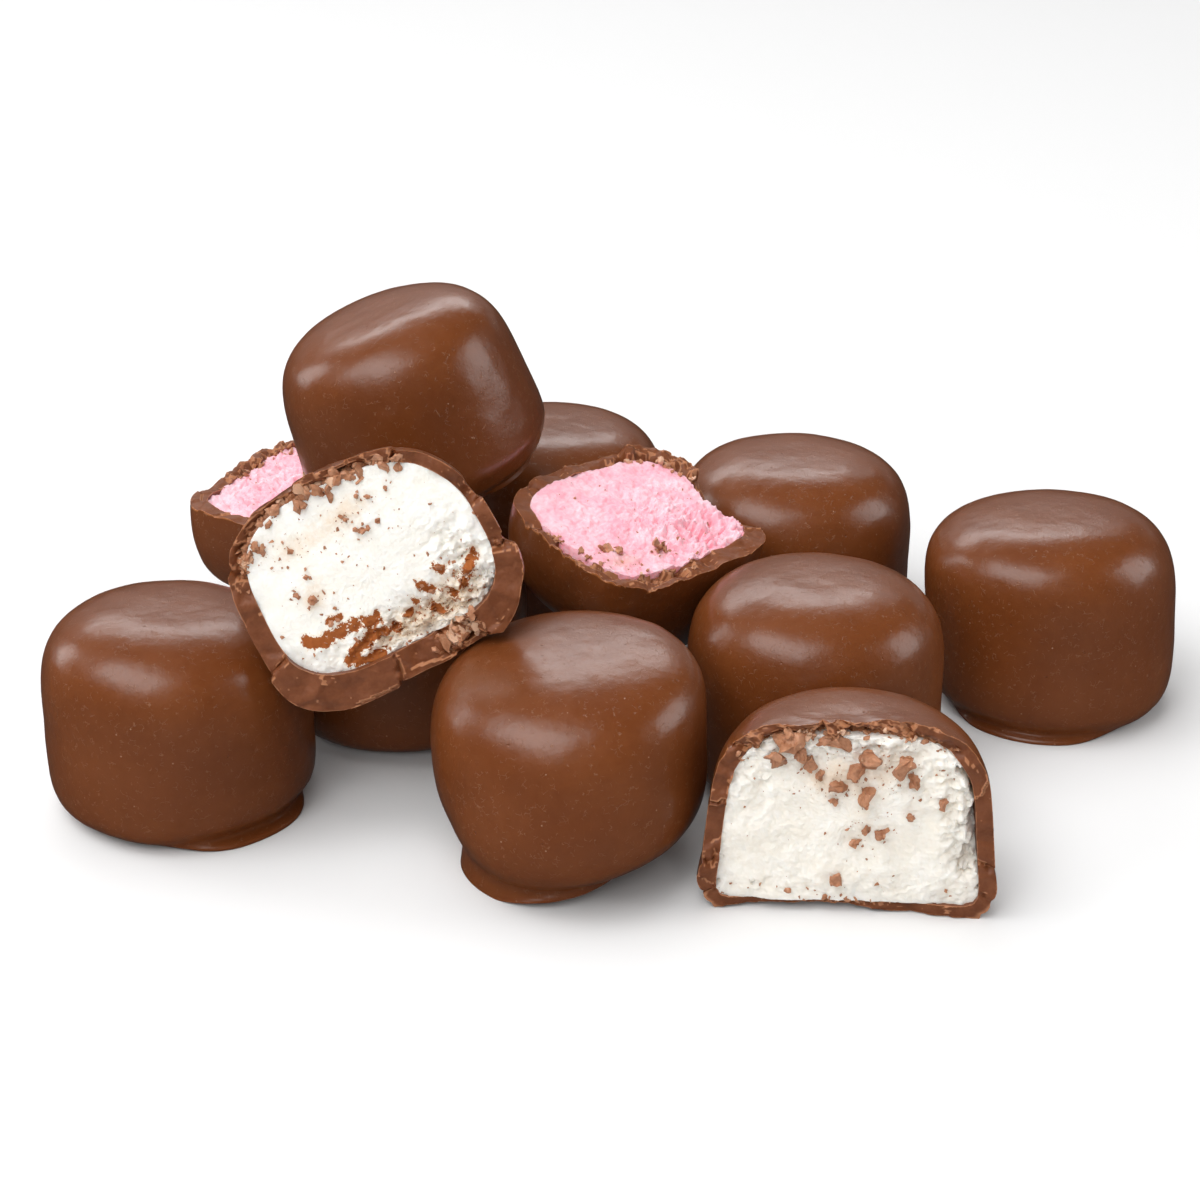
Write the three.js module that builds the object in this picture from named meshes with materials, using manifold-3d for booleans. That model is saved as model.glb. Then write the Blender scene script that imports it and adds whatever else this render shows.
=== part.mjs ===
// A heap of twelve chocolate-coated marshmallows as it lies on a table: eight are whole, two are
// white ones and two are pink ones that were bitten or cut, so that the foam inside shows.
// Units are millimetres, +Z is up, and the heap's base centre is the origin.
import * as THREE from "three";
import { mergeVertices } from "three/addons/utils/BufferGeometryUtils.js";
import Module from "manifold-3d";

const wasm = await Module();
wasm.setup();

// Driving dimensions of one sweet
const WIDTH = 30; // across the coated sweet
const HEIGHT = 24; // from its flat base to its crown
const COAT = { base: 1.6, side: 2, crown: 2 }; // thickness of the chocolate in its three places
const CLEARANCE = 0.3; // left between the foam and its coat
const FOOT_RISE = 2.4; // height that a foot of run-out chocolate takes up the side
const PRESSED = 1.01; // how much further than its flat base the curve below the waist would reach
const TEETH = 0.14; // height of each of the three waves of teeth along a broken rim

// How finely the solids are faceted
const AROUND = 28; // faces round a coat
const RINGS = 13; // levels from the base's middle to the crown's middle
const FOAM_AROUND = 22;
const FOAM_RINGS = 10;
const CUT_AROUND = 40; // faces round a broken face
const CUT_RINGS = [0.3, 0.55, 0.77, 0.85, 0.93, 1.01, 1.25]; // shares of the way to its rim

const MILK_CHOCOLATE = new THREE.MeshStandardMaterial({ color: 0x6b3a20, roughness: 0.38, metalness: 0 });
const WHITE_FOAM = new THREE.MeshStandardMaterial({ color: 0xf6f1e8, roughness: 0.85, metalness: 0 });
const PINK_FOAM = new THREE.MeshStandardMaterial({ color: 0xf3a6bd, roughness: 0.85, metalness: 0 });

const radians = THREE.MathUtils.degToRad;

// Difference of two compass angles in degrees, from -180 to 180
function angleBetween(a, b) {
  return ((((a - b) % 360) + 540) % 360) - 180;
}

const bell = (x) => Math.exp(-x * x);

// The shape of one sweet, before its own unevenness is added
const PLAIN = {
  width: WIDTH,
  depth: WIDTH,
  height: HEIGHT,
  waist: 0.5, // height of the widest level, as a share of the height
  crown: 3.5, // power of the curve above the waist: 2 is round, more is squarer
  heel: 6, // power of the curve below it
  draft: 0, // how much the sides draw in from base to crown
  lean: [0, 0], // how far the crown sits to one side of the base
  slant: [0, 0], // rise of the crown for each millimetre across
  dents: [], // [compass angle, elevation, depth, spread in degrees] each
  foot: [], // [compass angle, half width in degrees, reach] each, where the coat ran out at the base
};
const NO_INSET = { base: 0, side: 0, crown: 0 };

// One point of a sweet's surface. inset shrinks it, which gives the foam inside a coat.
function surfacePoint(form, azimuth, elevation, inset) {
  const power = elevation > 0 ? form.crown : form.heel;
  const c = Math.abs(Math.cos(radians(elevation)));
  const s = Math.abs(Math.sin(radians(elevation)));
  const reach = (c ** power + s ** power) ** (-1 / power);
  const waistHeight = form.height * form.waist;
  const rise = form.height - waistHeight - inset.crown;
  const drop = (inset.base - waistHeight) * PRESSED;
  let z = Math.max(inset.base, waistHeight + reach * s * (elevation > 0 ? rise : drop));

  const spread = reach * c * (1 + form.draft * (0.5 - z / form.height));
  let x = spread * (form.width / 2 - inset.side) * Math.cos(radians(azimuth));
  let y = spread * (form.depth / 2 - inset.side) * Math.sin(radians(azimuth));

  for (const [angle, half, out] of form.foot) {
    const beside = bell(angleBetween(azimuth, angle) / half);
    const push = out * beside * bell(z / FOOT_RISE) * Math.min(1, reach * c * 1.5);
    x += push * Math.cos(radians(azimuth));
    y += push * Math.sin(radians(azimuth));
  }
  let dent = 0;
  for (const [angle, height, depth, width] of form.dents) {
    const away = Math.hypot(angleBetween(azimuth, angle) * c, elevation - height);
    dent += depth * bell(away / width);
  }
  x -= dent * c * Math.cos(radians(azimuth));
  y -= dent * c * Math.sin(radians(azimuth));
  z -= dent * Math.sin(radians(elevation));

  const up = Math.max(0, z / form.height);
  z += up * (form.slant[0] * x + form.slant[1] * y);
  return [x + form.lean[0] * up * up, y + form.lean[1] * up * up, z];
}

// A closed mesh from a first point over rings of points to a last point
function ringedGeometry(first, rings, last) {
  const around = rings[0].length;
  const points = [first, ...rings.flat(), last];
  const end = points.length - 1;
  const at = (ring, step) => 1 + ring * around + (step % around);
  const faces = [];
  for (let step = 0; step < around; step++) {
    faces.push(0, at(0, step + 1), at(0, step));
    for (let ring = 0; ring < rings.length - 1; ring++)
      faces.push(
        at(ring, step), at(ring, step + 1), at(ring + 1, step + 1),
        at(ring, step), at(ring + 1, step + 1), at(ring + 1, step),
      );
    faces.push(end, at(rings.length - 1, step), at(rings.length - 1, step + 1));
  }
  const geometry = new THREE.BufferGeometry();
  geometry.setAttribute("position", new THREE.Float32BufferAttribute(points.flat(), 3));
  geometry.setIndex(faces);
  return geometry;
}

function sweetGeometry(form, inset, around, levels) {
  const rings = [];
  for (let level = 1; level < levels; level++)
    rings.push(
      Array.from({ length: around }, (_, step) =>
        surfacePoint(form, (360 * step) / around, -90 + (180 * level) / levels, inset),
      ),
    );
  return ringedGeometry(surfacePoint(form, 0, -90, inset), rings, surfacePoint(form, 0, 90, inset));
}

// What a bite or a knife took: everything in front of an uneven sheet that faces -Y. The sheet's
// points run in rings from the middle of the cut face out past its rim, so that a broken edge
// follows the coat. relief(u, v, share, angle) is how far the sheet stands towards the missing
// part, at u across and v up, where share is 0 in the middle of the face and 1 at its rim.
const CUT_CORNER = 3; // power of the face's outline, a rounded rectangle
function bittenOff(form, relief) {
  const middle = form.height / 2;
  const ring = (share, far) => {
    const points = [];
    for (let step = 0; step < CUT_AROUND; step++) {
      const angle = (360 * step) / CUT_AROUND;
      const c = Math.cos(radians(angle));
      const s = Math.sin(radians(angle));
      const reach = share * (Math.abs(c) ** CUT_CORNER + Math.abs(s) ** CUT_CORNER) ** (-1 / CUT_CORNER);
      const u = (reach * c * form.width) / 2;
      const v = middle + reach * s * middle;
      points.push([u, far ?? -relief(u, v, share, angle), v]);
    }
    return points;
  };
  const far = -2 * WIDTH;
  const rings = CUT_RINGS.map((share) => ring(share));
  rings.push(ring(CUT_RINGS.at(-1), far));
  return ringedGeometry([0, -relief(0, middle, 0, 0), middle], rings, [0, far, middle]);
}

// A closed geometry as a manifold-3d solid, for the cuts
function solid(geometry) {
  const merged = mergeVertices(geometry, 1e-4);
  return new wasm.Manifold(
    new wasm.Mesh({
      numProp: 3,
      vertProperties: merged.attributes.position.array,
      triVerts: new Uint32Array(merged.index.array),
    }),
  );
}

// The largest body of a manifold-3d solid as a three.js geometry: a cut can leave loose scraps
function geometryOf(made) {
  const body = made.decompose().sort((a, b) => b.volume() - a.volume())[0];
  const mesh = body.getMesh();
  const geometry = new THREE.BufferGeometry();
  geometry.setAttribute("position", new THREE.BufferAttribute(mesh.vertProperties, 3));
  geometry.setIndex(new THREE.BufferAttribute(mesh.triVerts, 1));
  geometry.computeVertexNormals();
  return geometry;
}

// A cut face's own shape. The coat's broken edge has teeth and missing bits. The foam's face lies
// a little behind it, by soft, with hollows and lumps.
function cutRelief(cut, soft) {
  const foam = soft !== undefined;
  return (u, v, share, angle) => {
    let out = cut.offset;
    if (foam) {
      for (const [across, up, height, wide, tall] of cut.foamBells)
        out += height * bell(Math.hypot((u - across) / wide, (v - up) / tall));
      return out - soft + cut.lumps * Math.sin(0.9 * u + 1.7 * v) * Math.sin(1.3 * u - 0.6 * v + 1);
    }
    const turn = radians(angle);
    const fine = Math.sin(19 * turn + 2);
    const jagged = Math.sin(7 * turn + 1) + Math.sin(13 * turn + 4 + 9 * share) + fine;
    for (const [where, half, depth] of cut.notches) out -= depth * bell(angleBetween(angle, where) / half);
    return out + TEETH * jagged;
  };
}

const heap = new THREE.Group();

function place(mesh, sweet) {
  mesh.position.set(...sweet.at);
  mesh.rotation.set(...sweet.turn.map(radians), "ZXY");
  heap.add(mesh);
}

function addWhole(name, sweet) {
  const geometry = sweetGeometry({ ...PLAIN, ...sweet.form }, NO_INSET, AROUND, RINGS);
  geometry.computeVertexNormals();
  const mesh = new THREE.Mesh(geometry, MILK_CHOCOLATE);
  mesh.name = name;
  place(mesh, sweet);
}

function addBitten(name, sweet) {
  const form = { ...PLAIN, ...sweet.form };
  const coated = { ...COAT, ...sweet.coat };
  const foamed = {
    base: coated.base + CLEARANCE,
    side: coated.side + CLEARANCE,
    crown: coated.crown + CLEARANCE,
  };
  const outside = solid(sweetGeometry(form, NO_INSET, AROUND, RINGS));
  const hollow = solid(sweetGeometry(form, coated, FOAM_AROUND, FOAM_RINGS));
  const inside = solid(sweetGeometry(form, foamed, FOAM_AROUND, FOAM_RINGS));
  const coatBlade = solid(bittenOff(form, cutRelief(sweet.cut)));
  const foamBlade = solid(bittenOff(form, cutRelief(sweet.cut, sweet.cut.soft)));
  const coat = new THREE.Mesh(geometryOf(outside.subtract(hollow).subtract(coatBlade)), MILK_CHOCOLATE);
  coat.name = name + "_coat";
  place(coat, sweet);
  const foam = new THREE.Mesh(geometryOf(inside.subtract(foamBlade)), sweet.foam);
  foam.name = name + "_foam";
  place(foam, sweet);
}

// Where each sweet lies. at is the middle of its base and turn its lean about X, its roll about
// Y and its compass turn about Z in degrees, the roll first and the compass turn last.
const WHOLE = {
  left_front: {
    at: [-51.3, -20.35, 0],
    turn: [0, 0, 0],
    form: {
      width: 30.2, depth: 30.2, height: 23.4, waist: 0.46, slant: [-0.06, -0.02],
      foot: [[-48, 34, 0.9]],
    },
  },
  centre_front: {
    at: [-5.7, -35.35, 1.26],
    turn: [-2.3, -10.4, 0],
    form: {
      width: 29.8, depth: 29.8, height: 22.6, waist: 0.5, crown: 4.2, heel: 3.8,
      slant: [-0.12, 0.08], lean: [3, 2.7], dents: [[195, -28, 1.1, 22]], foot: [[235, 50, 1.1]],
    },
  },
  right_middle: {
    at: [20.9, -15.15, 0],
    turn: [0, 0, 0],
    form: { width: 29.3, depth: 29.3, height: 24.5 },
  },
  far_right: {
    at: [51.6, 4.55, 0],
    turn: [0, 0, 0],
    form: { height: 24.3, waist: 0.55, slant: [0.06, -0.04], lean: [-1.8, 0.4], foot: [[-118, 40, 0.8]] },
  },
  right_back: {
    at: [21, 23.25, 0],
    turn: [0, 0, 0],
    form: { height: 24.4 },
  },
  back_centre: {
    at: [-10.3, 34.25, 0],
    turn: [0, 0, 0],
    form: { height: 24.6 },
  },
  under_left: {
    at: [-27.7, 0.85, 0],
    turn: [0, 0, 0],
    form: { width: 30.4, depth: 30.4, height: 23.2 },
  },
  top: {
    at: [-23.5, 12.15, 26.15],
    turn: [3, -18, 0],
    form: { width: 29.3, depth: 29.3, height: 22.4, heel: 5.5, draft: 0.14, foot: [[-20, 40, 0.8]] },
  },
};

// cut holds the bitten face: offset is how far in front of the sweet's axis it lies, and notches are
// missing bits of its rim as [angle, half width in degrees, depth]. soft is how far the foam lies
// behind it, foamBells are bumps on the foam as [across, up, height, width, tallness], and lumps is
// the foam's unevenness.
const BITTEN = {
  front_half: {
    at: [22.3, -45.35, 0.16],
    turn: [-1, 0, -4],
    foam: WHITE_FOAM,
    coat: { base: 1.2, side: 2.1, crown: 2.1 },
    form: {
      width: 29.6, depth: 29.6, height: 22.3, crown: 3.6, heel: 7, draft: 0.17,
      foot: [[-165, 22, 0.9], [-15, 24, 0.8]],
    },
    cut: {
      offset: 1, soft: 0.35, lumps: 0.15,
      foamBells: [[0, 18, -0.5, 9, 3]], notches: [[-90, 25, 0.5]],
    },
  },
  white_bitten: {
    at: [-23.3, -29.6, 20.15],
    turn: [-13.7, -24.5, 2.6],
    foam: WHITE_FOAM,
    coat: { base: 2.7, side: 1.7, crown: 1.9 },
    form: { width: 29.1, depth: 29.1, height: 24.1, crown: 3.1, heel: 3.4, dents: [[0, 38, 0.9, 24]] },
    cut: {
      offset: 0, soft: 0.2, lumps: 0.1,
      foamBells: [[4, 4.5, -1.2, 11, 3]], notches: [[83, 7, 1.6], [4, 8, 1.8]],
    },
  },
  pink_half: {
    at: [-52.7, 38.15, 15],
    turn: [-92, 0, -113],
    foam: PINK_FOAM,
    form: { width: 28.8, depth: 28.8, height: 23.6 },
    cut: { offset: 1.5, soft: 0.8, lumps: 0.3, foamBells: [], notches: [] },
  },
  pink_bitten: {
    at: [9, -7.95, 21.9],
    turn: [-74.1, 12.8, 59.6],
    foam: PINK_FOAM,
    coat: { base: 2.5, side: 1.7, crown: 1.8 },
    form: { width: 28.9, depth: 28.9, height: 23.8, crown: 3.3, heel: 4.2 },
    cut: {
      offset: 1, soft: 0.1, lumps: 0.3,
      foamBells: [[2, 13, 0.5, 8, 6]], notches: [[-38, 20, 1.8]],
    },
  },
};

for (const [name, sweet] of Object.entries(WHOLE)) addWhole(name, sweet);
for (const [name, sweet] of Object.entries(BITTEN)) addBitten(name, sweet);

export default heap;
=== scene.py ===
from math import pi, radians

import bpy
import numpy as np
from mathutils import Euler, Matrix, Vector, noise


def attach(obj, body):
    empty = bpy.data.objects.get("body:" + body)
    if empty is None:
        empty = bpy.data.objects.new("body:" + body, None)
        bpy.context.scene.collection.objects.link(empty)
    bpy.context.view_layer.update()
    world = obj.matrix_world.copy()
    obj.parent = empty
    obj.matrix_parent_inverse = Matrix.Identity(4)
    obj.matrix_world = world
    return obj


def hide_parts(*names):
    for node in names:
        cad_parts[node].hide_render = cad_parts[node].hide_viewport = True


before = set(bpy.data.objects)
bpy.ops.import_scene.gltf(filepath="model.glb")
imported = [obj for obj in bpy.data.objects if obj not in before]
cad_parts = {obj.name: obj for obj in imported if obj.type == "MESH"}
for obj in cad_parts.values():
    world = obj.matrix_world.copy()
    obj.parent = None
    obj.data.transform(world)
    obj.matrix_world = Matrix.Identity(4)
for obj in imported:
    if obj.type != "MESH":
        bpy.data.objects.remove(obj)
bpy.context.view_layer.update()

# The whole sweets
# Eight marshmallows, each a little wider than high, dipped in milk chocolate that set satin smooth
# with faint waves. Where a sweet stood while it set, the chocolate ran out into a thin foot.
MM = 0.001
PRESSED = 1.01  # how much further than its flat base the curve below the waist would reach
HEEL_INSET = 1.5  # how far inside the widest line a foot starts from
FOOT_RAGGED = 0.5  # share by which a foot's reach comes and goes
FOOT_RAGS = 0.3  # size of that, on a ball of radius 1
THINNEST_FOOT = 0.3
TUCK_RISE = 2.1  # where the side is drawn in above a foot, in heights of the foot
ON_BASE = 0.05  # points lower than this lie on the base
RIM_SHARE = 0.97  # share of the base's radius where its rim begins
RIM_FADE = 4  # how fast the rim's thin lip, with its painted glow, ends upwards, for each square millimetre
WAVES = 0.16  # height of the coat's slow waves
WAVE_SIZE = 7.0
RIPPLES = 0.03  # height of the small uneven places on them
RIPPLE_SIZE = 1.8
SEED_STEP = 3.7  # how far apart two sweets' shapes lie in the noise
APART = (97.0, 41.0, 13.0)  # how far apart two sweets lie in the pattern of their coats

# One sweet, in millimetres, before its own unevenness. Angles are in degrees. The waist is the share
# of its height where it is widest, the powers are how square its crown and heel are, the draft is
# how much it narrows upwards, the lean moves its crown sideways and the slant tilts it. A foot is
# its compass angle, half width and reach, with a height for each of the two. The foot change is how
# much its reach and height grow with each radian along it, the foot power is how crisp its shoulder
# is, and the tuck is how far the side goes in above it. A dent is its compass angle, elevation and
# spread. The three coats are what the inside of a broken coat is smaller by at base, side and crown.
PLAIN_SWEET = {
    "Width": 30.0,
    "Height": 24.0,
    "Waist": 0.5,
    "Crown power": 3.5,
    "Heel power": 6.0,
    "Draft": 0.0,
    "Lean": (0.0, 0.0, 0.0),
    "Slant": (0.0, 0.0, 0.0),
    "Foot": (0.0, 0.0, 0.0),
    "Second foot": (0.0, 0.0, 0.0),
    "Foot rise": (1.1, 1.1, 0.0),
    "Foot change": (0.0, 0.0, 0.0),
    "Foot power": 4.0,
    "Tuck": 0.45,
    "Dent": (0.0, 0.0, 20.0),
    "Dent depth": 0.0,
    "Base coat": 0.0,
    "Side coat": 0.0,
    "Crown coat": 0.0,
    "Unevenness": 1.0,
    "Seed": 0.0,
}


class Wire:
    """The output of a node, with arithmetic that adds Math nodes to its tree."""

    def __init__(self, bench, socket):
        self.bench = bench
        self.socket = socket

    def output(self, name):
        return Wire(self.bench, self.socket.node.outputs[name])

    def math(self, operation, *others):
        return self.bench.math(operation, self, *others)

    def __add__(self, other):
        return self.bench.math("ADD", self, other)

    def __radd__(self, other):
        return self.bench.math("ADD", other, self)

    def __sub__(self, other):
        return self.bench.math("SUBTRACT", self, other)

    def __rsub__(self, other):
        return self.bench.math("SUBTRACT", other, self)

    def __mul__(self, other):
        return self.bench.math("MULTIPLY", self, other)

    def __rmul__(self, other):
        return self.bench.math("MULTIPLY", other, self)

    def __truediv__(self, other):
        return self.bench.math("DIVIDE", self, other)

    def __rtruediv__(self, other):
        return self.bench.math("DIVIDE", other, self)

    def __pow__(self, other):
        return self.bench.math("POWER", self, other)

    def __gt__(self, other):
        return self.bench.math("GREATER_THAN", self, other)

    def __lt__(self, other):
        return self.bench.math("LESS_THAN", self, other)


class Bench:
    """Adds nodes to the tree of one shape or one material."""

    def __init__(self, tree):
        self.tree = tree

    def add(self, kind, settings={}, inputs={}, output=0):
        node = self.tree.nodes.new(kind)
        for name, value in settings.items():
            setattr(node, name, value)
        for key, value in inputs.items():
            if isinstance(value, Wire):
                self.tree.links.new(value.socket, node.inputs[key])
            else:
                node.inputs[key].default_value = value
        return Wire(self, node.outputs[output]) if len(node.outputs) else None

    def math(self, operation, *values):
        return self.add("ShaderNodeMath", {"operation": operation}, dict(enumerate(values)))

    def parts(self, vector):
        """The three numbers of a vector."""
        split = self.add("ShaderNodeSeparateXYZ", {}, {0: vector})
        return split, split.output("Y"), split.output("Z")

    def noise(self, place, size, detail=2.0, seed=0.0, rough=0.5):
        """Noise from 0 to 1 with features of one size, in the units of place."""
        return self.add(
            "ShaderNodeTexNoise",
            {"noise_dimensions": "4D"},
            {"Vector": place, "W": seed, "Scale": 1 / size, "Detail": detail, "Roughness": rough},
        )


def named_inputs(tree, defaults):
    """Gives a shape's tree its named inputs, with their kinds taken from their usual values."""
    kinds = {float: "Float", int: "Int", tuple: "Vector", type(None): "Material"}
    for name, value in defaults.items():
        kind = "NodeSocket" + kinds[type(value)]
        tree.interface.new_socket(name, in_out="INPUT", socket_type=kind)
    tree.interface.new_socket("Shape", in_out="OUTPUT", socket_type="NodeSocketGeometry")
    given = Bench(tree).add("NodeGroupInput")
    return {name: given.output(name) for name in defaults}


def sweet_form():
    """The tree of one coated sweet. It bends a ball into a short round pillow with a flat base."""
    tree = bpy.data.node_groups.new("sweet form", "GeometryNodeTree")
    tree.is_modifier = True
    given = named_inputs(tree, {**PLAIN_SWEET, "Around": 1, "Rings": 1, "Material": None})
    bench = Bench(tree)
    ball = bench.add(
        "GeometryNodeMeshUVSphere",
        {},
        {"Segments": given["Around"], "Rings": given["Rings"], "Radius": 1.0},
    )
    place = bench.add("GeometryNodeInputPosition")
    x, y, z = bench.parts(place)
    level = (x * x + y * y).math("SQRT")
    out_x, out_y = x / level, y / level
    turn = y.math("ARCTAN2", x)

    above = z > 0
    below = 1 - above
    power = given["Crown power"] * above + given["Heel power"] * below
    reach = (level**power + z.math("ABSOLUTE") ** power) ** (-1 / power)
    waist = given["Height"] * given["Waist"]
    rise = (given["Height"] - waist - given["Crown coat"]) * above
    rise = rise + (waist - given["Base coat"]) * PRESSED * below
    tall = (waist + reach * z * rise).math("MAXIMUM", given["Base coat"])
    share = tall / given["Height"]
    spread = reach * level * (1 + given["Draft"] * (0.5 - share))
    wide = spread * (given["Width"] / 2 - given["Side coat"])

    heel = given["Heel power"]
    flat = (1 - bench.math("POWER", PRESSED, heel * -1)) ** (1 / heel)
    grown = (reach * level / flat).math("MINIMUM", 1.0)
    uneven = 1 - FOOT_RAGGED / 2 + FOOT_RAGGED * bench.noise(place, FOOT_RAGS, 2.0, given["Seed"])
    lip = None
    rises = bench.parts(given["Foot rise"])
    more_out, more_rise, _ = bench.parts(given["Foot change"])
    for foot, foot_rise in zip(("Foot", "Second foot"), rises):
        angle, half, out = bench.parts(given[foot])
        along = (turn - angle.math("RADIANS")).math("WRAP", pi, -pi)
        away = along / half.math("RADIANS")
        here = (away * away * away * away * -1).math("EXPONENT") * (half > 0)
        out = out + along * more_out
        climb = tall / (foot_rise + along * more_rise).math("MAXIMUM", THINNEST_FOOT)
        ledge = (climb ** given["Foot power"] * -1).math("EXPONENT")
        edge = (given["Width"] / 2 - HEEL_INSET + out * uneven) * grown
        wide = wide + here * ledge * (edge - wide).math("MAXIMUM", 0.0)
        tuck = climb - TUCK_RISE
        wide = wide - given["Tuck"] * here * (tall > ON_BASE) * (tuck * tuck * -1).math("EXPONENT")
        # the thin lip along a foot's bottom edge: a settled sweet's lip is pressed onto the table,
        # and the coat paints a glow on it
        rim = here * (tall * tall * -RIM_FADE).math("EXPONENT") * (grown > RIM_SHARE)
        lip = rim if lip is None else lip + rim

    angle, lifted, wideness = bench.parts(given["Dent"])
    aside = (turn - angle.math("RADIANS")).math("WRAP", pi, -pi) * level
    over = z.math("ARCSINE") - lifted.math("RADIANS")
    hollow = (aside * aside + over * over) / (wideness.math("RADIANS") ** 2) * -1
    hollow = given["Dent depth"] * hollow.math("EXPONENT")

    at = bench.add("ShaderNodeCombineXYZ", {}, {0: wide * out_x, 1: wide * out_y, 2: tall})
    slow = bench.noise(at, WAVE_SIZE, 1.0, given["Seed"]) - 0.5
    small = bench.noise(at, RIPPLE_SIZE, 1.0, given["Seed"] + 5) - 0.5
    wave = (slow * 2 * WAVES + small * 2 * RIPPLES) * given["Unevenness"] - hollow

    px = wide * out_x + wave * x
    py = wide * out_y + wave * y
    pz = (tall + wave * z).math("MAXIMUM", given["Base coat"])
    up = (pz / given["Height"]).math("MAXIMUM", 0.0)
    slant_x, slant_y, _ = bench.parts(given["Slant"])
    lean_x, lean_y, _ = bench.parts(given["Lean"])
    pz = pz + up * (slant_x * px + slant_y * py)
    made = bench.add(
        "ShaderNodeCombineXYZ", {}, {0: px + lean_x * up * up, 1: py + lean_y * up * up, 2: pz}
    )
    shape = bench.add("GeometryNodeSetPosition", {}, {"Geometry": ball, "Position": made})
    shape = bench.add(
        "GeometryNodeStoreNamedAttribute",
        {"data_type": "FLOAT", "domain": "POINT"},
        {"Geometry": shape, "Name": "lip", "Value": lip},
    )
    shape = bench.add("GeometryNodeRealizeInstances", {}, {"Geometry": shape})
    worn = {"Geometry": shape, "Material": given["Material"]}
    shape = bench.add("GeometryNodeSetMaterial", {}, worn)
    bench.add("NodeGroupOutput", {}, {0: shape})
    return tree


def shape_from(tree, inputs, mesh=None):
    """The plain mesh that a shape's tree makes, with its modifier gone."""
    holder = bpy.data.objects.new("holder", mesh or bpy.data.meshes.new("holder"))
    bpy.context.scene.collection.objects.link(holder)
    modifier = holder.modifiers.new("shape", "NODES")
    modifier.node_group = tree
    for item in tree.interface.items_tree:
        if item.in_out == "INPUT" and item.name in inputs:
            modifier[item.identifier] = inputs[item.name]
    seen = holder.evaluated_get(bpy.context.evaluated_depsgraph_get())
    made = bpy.data.meshes.new_from_object(seen)
    bpy.data.objects.remove(holder)
    return made


SWEET_FORM = sweet_form()


def sweet_mesh(form, around, rings, material):
    """One sweet's mesh in millimetres, standing on its base at the origin."""
    fineness = {"Around": around, "Rings": rings, "Material": material}
    return shape_from(SWEET_FORM, {**PLAIN_SWEET, **form, **fineness})


def points_of(mesh):
    """The places of a mesh's points, one row each."""
    flat = np.empty(len(mesh.vertices) * 3, np.float32)
    mesh.vertices.foreach_get("co", flat)
    return flat.reshape(-1, 3).astype(float)


def keep_as(mesh, name, kind, values):
    """Keeps values on a mesh's points, for its material to read."""
    attribute = mesh.attributes.get(name) or mesh.attributes.new(name, kind, "POINT")
    word = "vector" if kind == "FLOAT_VECTOR" else "value"
    attribute.data.foreach_set(word, np.asarray(values, np.float32).ravel())


def lay(name, mesh, sweet, nodes, seed):
    """Turns a sweet's mesh to where it lies, and makes it a piece that stands for its CAD nodes."""
    keep_as(mesh, "sweet", "FLOAT_VECTOR", points_of(mesh) + np.array(APART) * seed)
    turn = [radians(angle) for angle in sweet["turn"]]
    turned = Matrix.Rotation(turn[2], 4, "Z") @ Matrix.Rotation(turn[0], 4, "X")
    turned = turned @ Matrix.Rotation(turn[1], 4, "Y")
    mesh.transform(Matrix.Scale(MM, 4) @ Matrix.Translation(sweet["at"]) @ turned)
    at = points_of(mesh)
    if sweet.get("settled"):
        lip = np.empty(len(at), np.float32)
        mesh.attributes["lip"].data.foreach_get("value", lip)
        at[:, 2] *= 1 - np.clip(lip, 0, 1)
    at[:, 2] = np.maximum(at[:, 2], 0.0)
    mesh.vertices.foreach_set("co", at.astype(np.float32).ravel())
    mesh.shade_smooth()
    piece = bpy.data.objects.new(name, mesh)
    bpy.context.scene.collection.objects.link(piece)
    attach(piece, "root")
    if nodes:
        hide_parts(*nodes)
    return piece


def new_material(name):
    material = bpy.data.materials.new(name)
    material.use_nodes = True
    material.node_tree.nodes.clear()
    return material, Bench(material.node_tree)


def mixed(bench, share, first, second):
    """A colour between two colours."""
    return bench.add(
        "ShaderNodeMix",
        {"data_type": "RGBA", "clamp_factor": True},
        {0: share, 6: first, 7: second},
        output=2,
    )


def step(bench, value, start, end):
    """0 below start, 1 above end, and smooth between them."""
    return bench.add(
        "ShaderNodeMapRange",
        {"interpolation_type": "SMOOTHSTEP"},
        {"Value": value, "From Min": start, "From Max": end},
    )


def dots(bench, place, spacing, radius, share):
    """Small round marks, one in some of the cells of a random pattern."""
    cells = bench.add("ShaderNodeTexVoronoi", {}, {"Vector": place, "Scale": 1 / spacing})
    red = bench.add("ShaderNodeSeparateColor", {}, {0: cells.output("Color")})
    chosen = red < share
    return (1 - step(bench, cells, radius * 0.6 / spacing, radius * 1.3 / spacing)) * chosen


HAIR_SPACING = 0.8


def hairs(bench, place):
    """Faint short curved lines, like the strokes that a soft brush leaves."""
    curl = {"Vector": place, "Scale": 0.9, "Detail": 2.0}
    bent = bench.add("ShaderNodeTexNoise", {}, curl, "Color")
    bent = bench.add("ShaderNodeVectorMath", {"operation": "SCALE"}, {0: bent, "Scale": 1.6})
    bent = bench.add("ShaderNodeVectorMath", {"operation": "ADD"}, {0: place, 1: bent})
    net = {"Vector": bent, "Scale": 1 / HAIR_SPACING}
    edges = bench.add("ShaderNodeTexVoronoi", {"feature": "DISTANCE_TO_EDGE"}, net)
    here = step(bench, bench.noise(place, HAIR_SPACING, 2.0, 4.0), 0.54, 0.60)
    return (1 - step(bench, edges, 0.008, 0.034)) * here


DARK_COAT = (0.134, 0.035, 0.0080, 1)
WARM_COAT = (0.164, 0.046, 0.0115, 1)
# painted glow for the thin lip of a foot, where light shines through it and bounces up from the
# table
PAINTED_LIP_GLOW = (0.44, 0.165, 0.058, 1)
DUST_SPECK = (0.42, 0.24, 0.15, 1)
BRUSHED = (0.36, 0.19, 0.11, 1)
RED_GOES_FURTHEST = (1.0, 0.45, 0.2)  # how far red, green and blue light goes into chocolate


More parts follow.
